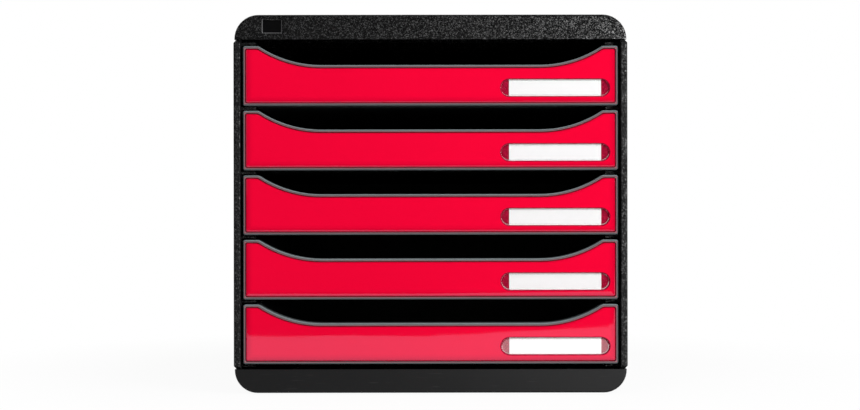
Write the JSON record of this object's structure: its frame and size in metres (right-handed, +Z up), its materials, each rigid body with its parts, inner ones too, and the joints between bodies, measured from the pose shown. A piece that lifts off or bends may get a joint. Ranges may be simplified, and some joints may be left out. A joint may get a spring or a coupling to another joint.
{
  "type": "desk drawer box",
  "caption": "Desk drawer box: black casing, red-fronted drawers that slide out, finger cut-outs and blank label windows.",
  "frame": {"origin": "middle of the footprint, on the surface that the feet stand on", "axes": "+X to the right seen from the front, +Y to the back, +Z up; drawers open along -Y"},
  "size_m": [0.278, 0.347, 0.2674],
  "materials": {
    "cover_grained": "black, fine spark-eroded grain",
    "cover_smooth": "black, smooth satin",
    "panel": "black, satin",
    "tray": "dark grey, semi-gloss edges",
    "front_red": "high gloss red",
    "window": "clear",
    "card": "white card, plain",
    "foot_rubber": "matt black"
  },
  "bodies": {
    "casing": {"top_cover": "cover_grained", "base_cover": "cover_smooth", "left_side_panel": "panel", "right_side_panel": "panel", "back_panel": "panel", "rubber_foot_front_left": "foot_rubber", "rubber_foot_front_right": "foot_rubber", "rubber_foot_back_left": "foot_rubber", "rubber_foot_back_right": "foot_rubber"},
    "drawer_1": {"drawer_tray_1": "tray", "front_plate_1": "front_red", "label_card_1": "card", "label_window_1": "window"},
    "drawer_2": {"drawer_tray_2": "tray", "front_plate_2": "front_red", "label_card_2": "card", "label_window_2": "window"},
    "drawer_3": {"drawer_tray_3": "tray", "front_plate_3": "front_red", "label_card_3": "card", "label_window_3": "window"},
    "drawer_4": {"drawer_tray_4": "tray", "front_plate_4": "front_red", "label_card_4": "card", "label_window_4": "window"},
    "drawer_5": {"drawer_tray_5": "tray", "front_plate_5": "front_red", "label_card_5": "card", "label_window_5": "window"}
  },
  "joints": [
    {"name": "drawer_1_slide", "type": "slide", "parent": "casing", "child": "drawer_1", "axis": [0, -1, 0], "range_m": [0, 0.24]},
    {"name": "drawer_2_slide", "type": "slide", "parent": "casing", "child": "drawer_2", "axis": [0, -1, 0], "range_m": [0, 0.24]},
    {"name": "drawer_3_slide", "type": "slide", "parent": "casing", "child": "drawer_3", "axis": [0, -1, 0], "range_m": [0, 0.24]},
    {"name": "drawer_4_slide", "type": "slide", "parent": "casing", "child": "drawer_4", "axis": [0, -1, 0], "range_m": [0, 0.24]},
    {"name": "drawer_5_slide", "type": "slide", "parent": "casing", "child": "drawer_5", "axis": [0, -1, 0], "range_m": [0, 0.24]}
  ]
}
